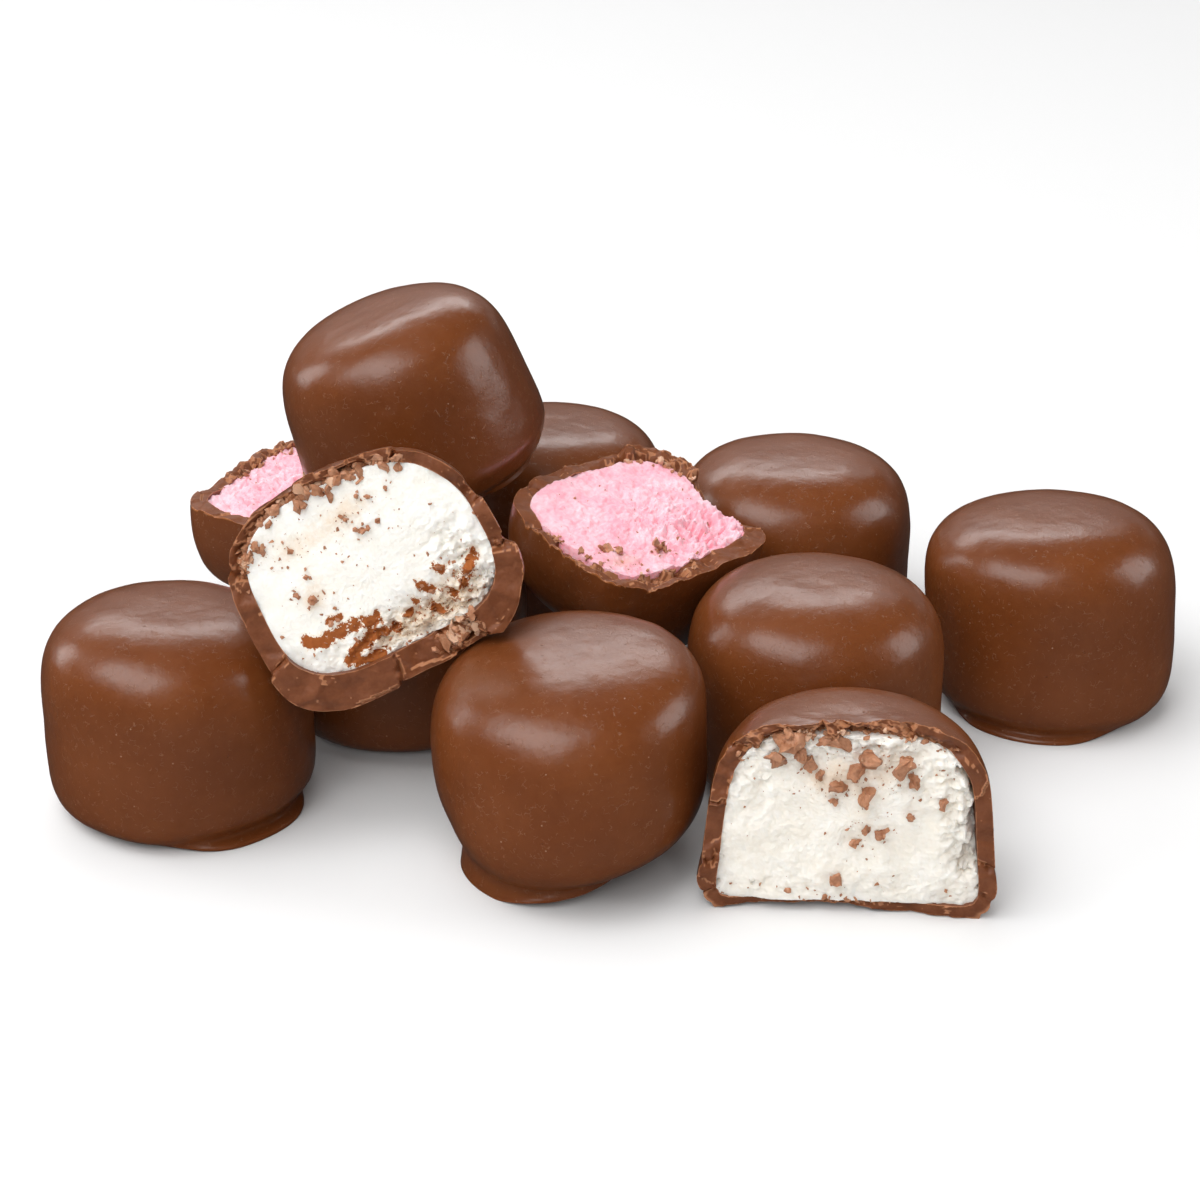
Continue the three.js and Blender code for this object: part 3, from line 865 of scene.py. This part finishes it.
# All in millimetres and degrees, with the broken face seen from its front. at and turn are as for
# a whole sweet, coat is the shell's thickness, shift moves the hollow across and up, and offset is
# how far in front of the sweet's axis the broken face lies.
# A plate of the rim is where it starts and ends round the face, how proud it stands and how far
# the coat beside it swells. Notches, bulges, crumbly stretches and gaps are an angle round the
# face, a half width and an amount. Solid share and edge share are where on the way to the rim the
# crumbly part of the coat and the border of the foam begin, and behind is how far the foam stands
# back from the rim. Bells, torn places and stains are across, up, amount, width and tallness.
# A smear is a half width and the points that it follows. Rubble is how many bits lie on a square
# millimetre of a crumbly stretch, with the sizes of the smallest and the largest, and a chunk is
# its place across and up, and its size.
BITTEN_SWEETS = {
    "front_half": {
        "at": (22.3, -45.35, 0.16),
        "turn": (-1, 0, -4),
        "coat": {"Base coat": 1.25, "Side coat": 1.75, "Crown coat": 1.6, "Heel power": 14.0},
        "shift": (0, 0),
        "form": {
            "Width": 29.6, "Height": 22.3, "Crown power": 3.6, "Heel power": 7.0, "Draft": 0.17,
            "Foot": (-165, 22, 0.7), "Second foot": (-15, 24, 0.7),
        },
        "offset": 1,
        "rim": {
            "plates": [(205, 219, 0.25, 0.1), (322, 334, 0.25, 0.1), (140, 172, 0.1, 0.0)],
            "notches": [(-95, 28, 0.6), (150, 4, 0.5)],
            "lumps": 0.12,
            "bulges": [(256, 26, -0.7), (219, 9, 0.4), (320, 9, 0.4), (70, 14, 0.25)],
            "crumbly": [(92, 44, 0.9), (-90, 36, 0.35)],
            "solid share": 0.93,
        },
        "foam": {
            "behind": 0.35, "bells": [(0, 18, -0.5, 9, 3)], "rough": 0.06,
            "torn": [
                (11.5, 12, 1.0, 2.0, 7), (-2, 19.5, 0.8, 10, 1.8), (0, 3, 0.3, 12, 1.2),
                (-10.5, 16, 0.6, 3, 3.5), (7, 15.5, 0.5, 4, 2.5),
            ],
            "wave": 0.15, "wave size": 5.0, "tear": 1.0, "bubble": 0.045, "layers": 0.34,
            "gaps": [(4, 34, 1.3)], "edge share": 0.83,
        },
        "smears": [],
        "stains": [(-2.7, 15.2, 0.6, 3.0, 2.0), (2, 17.0, 0.55, 6, 2.5), (2, 11, 0.45, 3, 4)],
        "rubble": (2.6, 0.6, 1.5),
        "chunks": [
            (-6.8, 20.0, 4.7), (-8.0, 18.3, 3.6), (-4.8, 17.7, 3.6), (-2.0, 19.4, 5.2),
            (-1.7, 14.9, 3.0), (1.7, 18.0, 4.0), (0.4, 16.4, 3.2), (4.8, 17.8, 4.5),
            (1.9, 14.0, 3.6), (-1.7, 13.0, 2.1), (6.5, 15.4, 2.6), (9.2, 13.4, 2.3),
            (6.3, 11.5, 2.1), (1.8, 10.0, 1.7), (3.2, 9.8, 2.0), (0.7, 8.2, 1.7),
            (-1.2, 4.1, 2.2), (-5.6, 18.9, 2.7), (-3.2, 16.0, 1.7), (-7.0, 21.2, 2.6),
        ],
    },
    "white_bitten": {
        "at": (-23.3, -29.6, 20.15),
        "turn": (-13.7, -24.5, 2.6),
        "coat": {"Base coat": 2.6, "Side coat": 1.8, "Crown coat": 1.7},
        "shift": (0.4, 0.5),
        "form": {
            "Width": 29.1, "Height": 24.1, "Crown power": 3.1, "Heel power": 3.4,
            "Dent": (0, 38, 24), "Dent depth": 0.9,
        },
        "offset": 0,
        "rim": {
            "plates": [
                (204, 262, 0.75, 0.5), (262, 289, 0.25, 0.1), (289, 304, -0.3, -0.1),
                (304, 346, 0.9, 0.8), (349, 372, 0.3, 0.2), (58, 104, 0.2, 0.35),
                (104, 150, -0.1, -0.3),
            ],
            "notches": [(18, 5, 1.8), (276, 8, 0.5)],
            "lumps": 0.4,
            "bulges": [(337, 9, 0.5), (230, 18, 0.3), (18, 5, -0.5)],
            "crumbly": [(106, 46, 1.0), (296, 10, 0.6)],
            "solid share": 0.95,
        },
        "foam": {
            "behind": 0.2, "bells": [(4, 4.5, -1.2, 11, 3)], "rough": 0.0,
            "torn": [(3, 5, 1.0, 10, 2.4), (10, 9, 0.9, 2.8, 4.5)],
            "wave": 0.15, "wave size": 5.0, "tear": 1.4, "bubble": 0.03, "layers": 0.08,
            "gaps": [(200, 38, 1.2), (306, 34, 1.4)], "edge share": 0.9,
        },
        "smears": [
            (0.8, [(-9.3, 8.2), (-7.9, 7.5), (-6.4, 7.5), (-5.1, 7.7), (-3.8, 7.6), (-1.7, 7.4)]),
            (0.75, [(-5.4, 4.9), (-3.8, 5.3), (-3.1, 5.6), (-1.5, 5.5), (-0.1, 5.3)]),
            (0.65, [(-6.2, 4.2), (-4.0, 3.4), (-2.6, 3.3)]),
            (0.6, [(4.4, 8.5), (5.0, 7.5)]), (0.55, [(6.7, 9.7), (7.1, 9.2)]),
            (0.7, [(10.9, 9.2), (9.8, 8.1), (8.5, 6.6)]), (0.6, [(4.3, 5.6), (5.2, 4.9)]),
            (0.5, [(1.4, 6.2), (2.0, 6.2)]), (0.5, [(7.1, 6.0), (7.2, 6.4)]),
            (0.5, [(-6.4, 9.3), (-5.0, 9.2)]), (0.45, [(2.8, 7.4), (3.0, 7.0)]),
        ],
        "stains": [
            (-6.5, 12.5, 0.7, 2.4, 2.4), (-6, 18.2, 0.6, 4.5, 1.8), (1, 19.5, 0.6, 4, 1.8),
            (2, 5, 0.9, 9, 2.5), (1, 15.5, 0.3, 4, 3), (8, 7.5, 0.5, 3, 3),
        ],
        "rubble": (2.4, 1.3, 3.2),
        "chunks": [
            (0.2, 18.4, 1.0), (0.8, 17.0, 1.2), (1.4, 16.7, 1.2), (2.0, 16.5, 1.3),
            (3.3, 16.9, 1.0), (-0.1, 19.1, 0.9), (-6.7, 17.9, 1.5), (-9.1, 19.6, 1.3),
            (2.4, 20.2, 1.1), (3.4, 19.8, 1.1), (5.6, 19.6, 1.1), (9.2, 16.2, 0.7),
            (-7.9, 13.3, 1.5), (-6.8, 12.2, 1.7), (-7.6, 11.6, 0.9), (-6.3, 14.7, 0.9),
            (-6.2, 9.1, 1.2), (-5.2, 9.1, 1.1), (-5.0, 10.3, 0.9), (4.4, 8.3, 1.0),
            (5.0, 7.4, 1.3), (7.0, 9.4, 1.2), (1.6, 12.0, 0.6), (-3.1, 16.7, 0.6),
        ],
    },
    "pink_half": {
        "at": (-52.7, 38.15, 15),
        "turn": (-92, 0, -113),
        "coat": {"Base coat": 1.6, "Side coat": 1.8, "Crown coat": 1.8},
        "shift": (0, 0),
        "form": {"Width": 28.8, "Height": 23.6},
        "offset": 1.5,
        "rim": {
            "plates": [(20, 52, 0.2, 0.2), (120, 160, -0.2, 0.1)],
            "notches": [],
            "lumps": 0.25,
            "bulges": [],
            "crumbly": [(180, 100, 0.9)],
            "solid share": 0.93,
        },
        "foam": {
            "behind": 0.8, "bells": [], "rough": 0.6, "torn": [],
            "wave": 0.35, "wave size": 4.0, "tear": 0.8, "bubble": 0.06, "layers": 0.2,
            "gaps": [], "edge share": 0.85,
        },
        "smears": [],
        "stains": [(-8, 9, 0.4, 5, 5)],
        "rubble": (1.8, 0.7, 1.8),
        "chunks": [(-7, 9, 1.7), (-5, 14, 1.2), (4, 16, 1.3)],
    },
    "pink_bitten": {
        "at": (9, -7.95, 21.9),
        "turn": (-74.1, 12.8, 59.6),
        "coat": {"Base coat": 2.5, "Side coat": 1.7, "Crown coat": 1.8},
        "shift": (0, 0),
        "form": {
            "Width": 28.9, "Height": 23.8, "Crown power": 3.3, "Heel power": 4.2,
            "Dent": (-3, -12, 22), "Dent depth": 2.2,
        },
        "offset": 1,
        "rim": {
            "plates": [(14, 58, 1.0, 0.4), (120, 160, -0.2, 0.0)],
            "notches": [(-12, 20, 2.2)],
            "lumps": 0.25,
            "bulges": [(35, 18, 0.4)],
            "crumbly": [(225, 42, 0.6), (40, 30, 0.8), (180, 20, 0.4)],
            "solid share": 0.93,
        },
        "foam": {
            "behind": 0.1, "bells": [(2, 13, 0.5, 8, 6)], "rough": 0.2,
            "torn": [(5, 6, 0.8, 8, 5)],
            "wave": 0.35, "wave size": 4.0, "tear": 1.2, "bubble": 0.05, "layers": 0.25,
            "gaps": [], "edge share": 0.87,
        },
        "smears": [],
        "stains": [(-9, 6, 0.7, 4, 2.5), (-3.2, 5.5, 0.6, 1.5, 1.5)],
        "rubble": (1.3, 0.6, 1.8),
        "chunks": [
            (-3.1, 5.7, 1.9), (-3.4, 6.3, 1.8), (-2.7, 5.1, 1.9), (-9.1, 8.1, 2.1),
            (-9.8, 8.7, 1.5), (-8.4, 7.2, 1.8), (-2.2, 5.9, 1.0), (-4.0, 5.4, 1.0),
        ],
    },
}
FOAM_OF = {
    "front_half": (CREAMY_FOAM, "white_foam"),
    "white_bitten": (WHITE_FOAM, "white_foam"),
    "pink_half": (PINK_FOAM, "pink_foam"),
    "pink_bitten": (PINK_FOAM, "pink_foam"),
}
COATS = {}  # copies of the coats and foams in their own millimetres, for the crumbs to lie on
FOAMS = {}

for seed, (name, sweet) in enumerate(BITTEN_SWEETS.items(), 10):
    form = {**PLAIN_SWEET, **sweet["form"], "Seed": seed * SEED_STEP}
    smooth = {**form, **sweet["coat"], "Unevenness": 0.0}
    outside = sweet_mesh(form, WHOLE_AROUND, WHOLE_RINGS, MILK_CHOCOLATE)
    swell(outside, form, sweet)
    smooth["Foot"] = smooth["Second foot"] = PLAIN_SWEET["Foot"]
    thinner = Matrix.Translation((sweet["shift"][0], 0, sweet["shift"][1]))
    hollow = sweet_mesh(smooth, HOLLOW_AROUND, HOLLOW_RINGS, BROKEN_CHOCOLATE)
    hollow.transform(thinner)
    blade = closed_sheet(form, COAT_STEPS, rim_relief(sweet, seed), BROKEN_CHOCOLATE)
    coat = cut(outside, hollow, blade)
    mark_edges(coat, COAT_EDGE, form, sweet["rim"]["plates"])
    at = points_of(coat)
    angle, share = face_angle(form, at[:, 0], at[:, 2])
    inner = np.clip((sweet["rim"]["solid share"] - share) / 0.03, 0, 1)
    near = bell((at[:, 1] + sweet["offset"]) / 1.2)
    crumbly = np.clip(spans(angle, sweet["rim"]["crumbly"]), 0, 1)
    keep_as(coat, "crumbs", "FLOAT", crumbly * inner * near)
    COATS[name] = coat.copy()
    lay(name + "_broken_coat", coat, sweet, [name + "_coat"], seed)

    material, slot = FOAM_OF[name]
    inside = sweet_mesh(smooth, HOLLOW_AROUND, HOLLOW_RINGS, material)
    inside.transform(thinner)
    blade = closed_sheet(form, FOAM_STEPS, foam_relief(sweet, seed), material)
    foam = cut(inside, blade)
    at = points_of(foam)
    smear = strokes(at[:, 0], at[:, 2], sweet["smears"])
    stain = bells(at[:, 0], at[:, 2], sweet["stains"])
    facing = at[:, 1] < FACE_DEPTH
    keep_as(foam, "smear", "FLOAT", smear * facing)
    keep_as(foam, "stain", "FLOAT", stain * facing)
    keep_as(foam, "crumbs", "FLOAT", np.clip(stain, FEWEST_CRUMBS, 1) * facing)
    foam.set_sharp_from_angle(angle=radians(FOAM_EDGE))
    FOAMS[name] = foam.copy()
    lay(name + "_marshmallow", foam, sweet, [name + "_foam"], seed)

# The crumbs
# Bits of the coats that broke off: lumpy chunks that stick to the cut faces, rubble along the
# crumbly stretches of the rims, and the finest crumbs, which are angular, scattered over the foam.
SPLINTERS = 7  # different bits to pick from
CORNERS = 11  # points that each bit is wrapped round
BIT = (0.5, 0.42, 0.33)  # half sizes of the box that holds them
ROUGHENED = 0.7  # how far the surface of a rounded bit moves in and out
CRUMB_EDGE = 32  # degrees between two facets that stay a sharp edge
STANDS_OUT = 0.22  # share of its size by which a chunk's middle stands out of the foam
BORDER = 0.80  # share of the way to the rim where rubble starts to lie on the foam
BORDER_DEPTH = 2  # that rubble lies in front of this, measured backwards from the sweet's axis
CRUMB_CHOCOLATE = broken_chocolate(
    "chocolate crumbs",
    dark=(0.30, 0.118, 0.052, 1),
    pale=(0.52, 0.255, 0.145, 1),
    fleck_and_edge_highlight=(0.68, 0.43, 0.29, 1),
)


def splinters(bench, seed, fineness):
    """Bits about 1 across, made by wrapping random points. Finer ones are rounded and lumpy."""
    made = bench.add("GeometryNodeJoinGeometry")
    for number in range(SPLINTERS):
        spot = bench.add(
            "FunctionNodeRandomValue",
            {"data_type": "FLOAT_VECTOR"},
            {0: tuple(-half for half in BIT), 1: BIT, "Seed": seed + number * 31},
        )
        cloud = bench.add("GeometryNodePoints", {}, {"Count": CORNERS, "Position": spot})
        chunk = bench.add("GeometryNodeConvexHull", {}, {0: cloud})
        if fineness:
            chunk = bench.add("GeometryNodeSubdivisionSurface", {}, {0: chunk, "Level": fineness})
            lumps = {"Vector": bench.add("GeometryNodeInputPosition"), "Scale": 3.0, "Detail": 3.0}
            shift = bench.add("ShaderNodeTexNoise", {}, lumps, "Color")
            centred = {0: shift, 1: (0.5, 0.5, 0.5)}
            shift = bench.add("ShaderNodeVectorMath", {"operation": "SUBTRACT"}, centred)
            scaled = {0: shift, "Scale": ROUGHENED}
            shift = bench.add("ShaderNodeVectorMath", {"operation": "SCALE"}, scaled)
            chunk = bench.add("GeometryNodeSetPosition", {}, {"Geometry": chunk, "Offset": shift})
        single = bench.add("GeometryNodeGeometryToInstance", {}, {0: chunk})
        bench.tree.links.new(single.socket, made.socket.node.inputs[0])
    return made


def crumb_form(name, scattered, fineness):
    """The tree that sets bits on a mesh: over its faces, as thickly as its crumbs attribute says,
    or one on each of its points, as large as its size attribute says."""
    tree = bpy.data.node_groups.new(name, "GeometryNodeTree")
    tree.is_modifier = True
    tree.interface.new_socket("Geometry", in_out="INPUT", socket_type="NodeSocketGeometry")
    usual = {"Per square mm": 1.0, "Smallest": 0.3, "Largest": 1.0, "Bias": 3.0, "Seed": 1}
    usual["Material"] = None
    given = named_inputs(tree, usual)
    bench = Bench(tree)
    ground = given["Seed"].output("Geometry")
    read_number = ("GeometryNodeInputNamedAttribute", {"data_type": "FLOAT"})
    if scattered:
        thick = bench.add(*read_number, {"Name": "crumbs"})
        spread = {0: ground, "Density": given["Per square mm"] * thick, "Seed": given["Seed"]}
        points = bench.add("GeometryNodeDistributePointsOnFaces", {}, spread)
        chance = bench.add("FunctionNodeRandomValue", {}, {"Seed": given["Seed"] + 7}, 1)
        size = given["Smallest"] + (given["Largest"] - given["Smallest"]) * chance ** given["Bias"]
    else:
        points = bench.add("GeometryNodeMeshToPoints", {}, {0: ground})
        size = bench.add(*read_number, {"Name": "size"})
    turn = bench.add(
        "FunctionNodeRandomValue",
        {"data_type": "FLOAT_VECTOR"},
        {0: (0, 0, 0), 1: (2 * pi, 2 * pi, 2 * pi), "Seed": given["Seed"] + 13},
    )
    pick = bench.add(
        "FunctionNodeRandomValue",
        {"data_type": "INT"},
        {4: 0, 5: SPLINTERS - 1, "Seed": given["Seed"] + 29},
        2,
    )
    made = bench.add(
        "GeometryNodeInstanceOnPoints",
        {},
        {
            "Points": points,
            "Instance": splinters(bench, 3, fineness),
            "Pick Instance": True,
            "Instance Index": pick,
            "Rotation": turn,
            "Scale": size,
        },
    )
    made = bench.add("GeometryNodeRealizeInstances", {}, {"Geometry": made})
    worn = {"Geometry": made, "Material": given["Material"]}
    made = bench.add("GeometryNodeSetMaterial", {}, worn)
    bench.add("NodeGroupOutput", {}, {0: made})
    return tree


PLACED = crumb_form("placed chunks", False, 2)
SCATTERED = crumb_form("scattered crumbs", True, 0)
RUBBLE = crumb_form("rubble", True, 1)


def joined(meshes):
    """Several meshes as one."""
    holders = [bpy.data.objects.new("holder", mesh) for mesh in meshes]
    for holder in holders:
        bpy.context.scene.collection.objects.link(holder)
    with bpy.context.temp_override(active_object=holders[0], selected_editable_objects=holders):
        bpy.ops.object.join()
    mesh = holders[0].data
    bpy.data.objects.remove(holders[0])
    return mesh


for seed, (name, sweet) in enumerate(BITTEN_SWEETS.items(), 40):
    at = points_of(FOAMS[name])
    spots, sizes = [], []
    for u, v, size in sweet["chunks"]:
        near = np.argmin(np.hypot(at[:, 0] - u, at[:, 2] - v) + (at[:, 1] > FACE_DEPTH) * FAR)
        spots.append((u, at[near, 1] - size * STANDS_OUT, v))
        sizes.append(size)
    dotted = bpy.data.meshes.new("chunks")
    dotted.from_pydata(spots, [], [])
    keep_as(dotted, "size", "FLOAT", sizes)
    common = {"Seed": seed, "Material": CRUMB_CHOCOLATE}
    fine = {**common, "Per square mm": 2.6, "Smallest": 0.13, "Largest": 0.7, "Bias": 3.6}
    thick, smallest, largest = sweet["rubble"]
    coarse = {**common, "Smallest": smallest, "Largest": largest, "Bias": 1.3}
    border = FOAMS[name].copy()
    at = points_of(border)
    angle, share = face_angle({**PLAIN_SWEET, **sweet["form"]}, at[:, 0], at[:, 2])
    near = np.clip((share - BORDER) / 0.05, 0, 1) * (at[:, 1] < BORDER_DEPTH)
    keep_as(border, "crumbs", "FLOAT", near * np.clip(spans(angle, sweet["rim"]["crumbly"]), 0, 1))
    crumbs = joined(
        [
            shape_from(PLACED, common, dotted),
            shape_from(SCATTERED, fine, FOAMS[name]),
            shape_from(RUBBLE, {**coarse, "Per square mm": thick}, COATS[name]),
            shape_from(RUBBLE, {**coarse, "Seed": seed + 50, "Per square mm": thick / 2}, border),
        ]
    )
    lay(name + "_crumbs", crumbs, sweet, [], seed)
    crumbs.set_sharp_from_angle(angle=radians(CRUMB_EDGE))

# The studio
# A pale table, soft lights behind the heap and on both sides that the coats mirror, two wide fills
# that only brighten it, and the camera at the photograph's place. All of it is in metres.
TABLE = 6  # half its width
TABLE_GREY = (0.78, 0.78, 0.78, 1)
ROOM_LIGHT = 0.04
PITCH = 25.14  # degrees that the camera looks down
EYE = (-0.0037, -0.27135, 0.1423)
corners = [(-TABLE, -TABLE, 0), (TABLE, -TABLE, 0), (TABLE, TABLE, 0), (-TABLE, TABLE, 0)]
floor_mesh = bpy.data.meshes.new("floor")
floor_mesh.from_pydata(corners, [], [(0, 1, 2, 3)])
floor = bpy.data.objects.new("floor", floor_mesh)
bpy.context.scene.collection.objects.link(floor)
floor_material, bench = new_material("white table")
shader = bench.add("ShaderNodeBsdfDiffuse", {}, {"Color": TABLE_GREY})
bench.add("ShaderNodeOutputMaterial", {}, {"Surface": shader})
floor_mesh.materials.append(floor_material)
floor.visible_glossy = False  # so the coats' sides stay dark

HEART = Vector((0, 0, 0.02))  # the point of the heap that the lights face
# Each light's compass angle from the back to the right, height angle, distance, width, depth and
# brightness, and whether the glossy coats mirror it
LIGHTS = {
    "back strip": (-9, 34, 1.1, 0.85, 0.12, 5.0, True),
    "back glow": (-9, 34, 1.2, 1.5, 0.3, 0.9, True),
    "back wall": (0, 14, 1.4, 2.4, 0.4, 0.25, True),
    "front left softbox": (-128, 55, 0.8, 0.68, 0.40, 2.4, True),
    "front left glow": (-128, 55, 0.9, 0.95, 0.85, 1.1, True),
    "right softbox": (88, 24, 1.0, 0.6, 0.6, 2.6, True),
    "left softbox": (-66, 20, 1.0, 0.3, 0.5, 3.4, True),
    "overhead fill": (-60, 75, 1.2, 1.2, 1.2, 1.9, False),
    "front fill": (-170, 36, 1.4, 1.4, 0.9, 2.6, False),
}
for name, (turn, height, distance, width, depth, brightness, mirrored) in LIGHTS.items():
    lamp = bpy.data.lights.new(name, "AREA")
    lamp.shape = "RECTANGLE"
    lamp.size = width
    lamp.size_y = depth
    lamp.energy = brightness * pi * width * depth
    holder = bpy.data.objects.new(name, lamp)
    away = Euler((radians(height), 0, -radians(turn))).to_matrix() @ Vector((0, distance, 0))
    holder.location = HEART + away
    holder.rotation_euler = (-away).to_track_quat("-Z", "Y").to_euler()
    holder.visible_glossy = mirrored
    bpy.context.scene.collection.objects.link(holder)

world = bpy.data.worlds.new("studio")
world.use_nodes = True
room = world.node_tree.nodes["Background"]
room.inputs["Color"].default_value = (1, 1, 1, 1)
room.inputs["Strength"].default_value = ROOM_LIGHT
bpy.context.scene.world = world
bpy.context.scene.view_settings.view_transform = "Standard"

camera = bpy.data.cameras.new("camera")
camera.lens = 75
camera.sensor_width = 36
camera.clip_start = 0.01
viewpoint = bpy.data.objects.new("camera", camera)
viewpoint.location = EYE
viewpoint.rotation_euler = (radians(90 - PITCH), 0, 0)
bpy.context.scene.collection.objects.link(viewpoint)
bpy.context.scene.camera = viewpoint
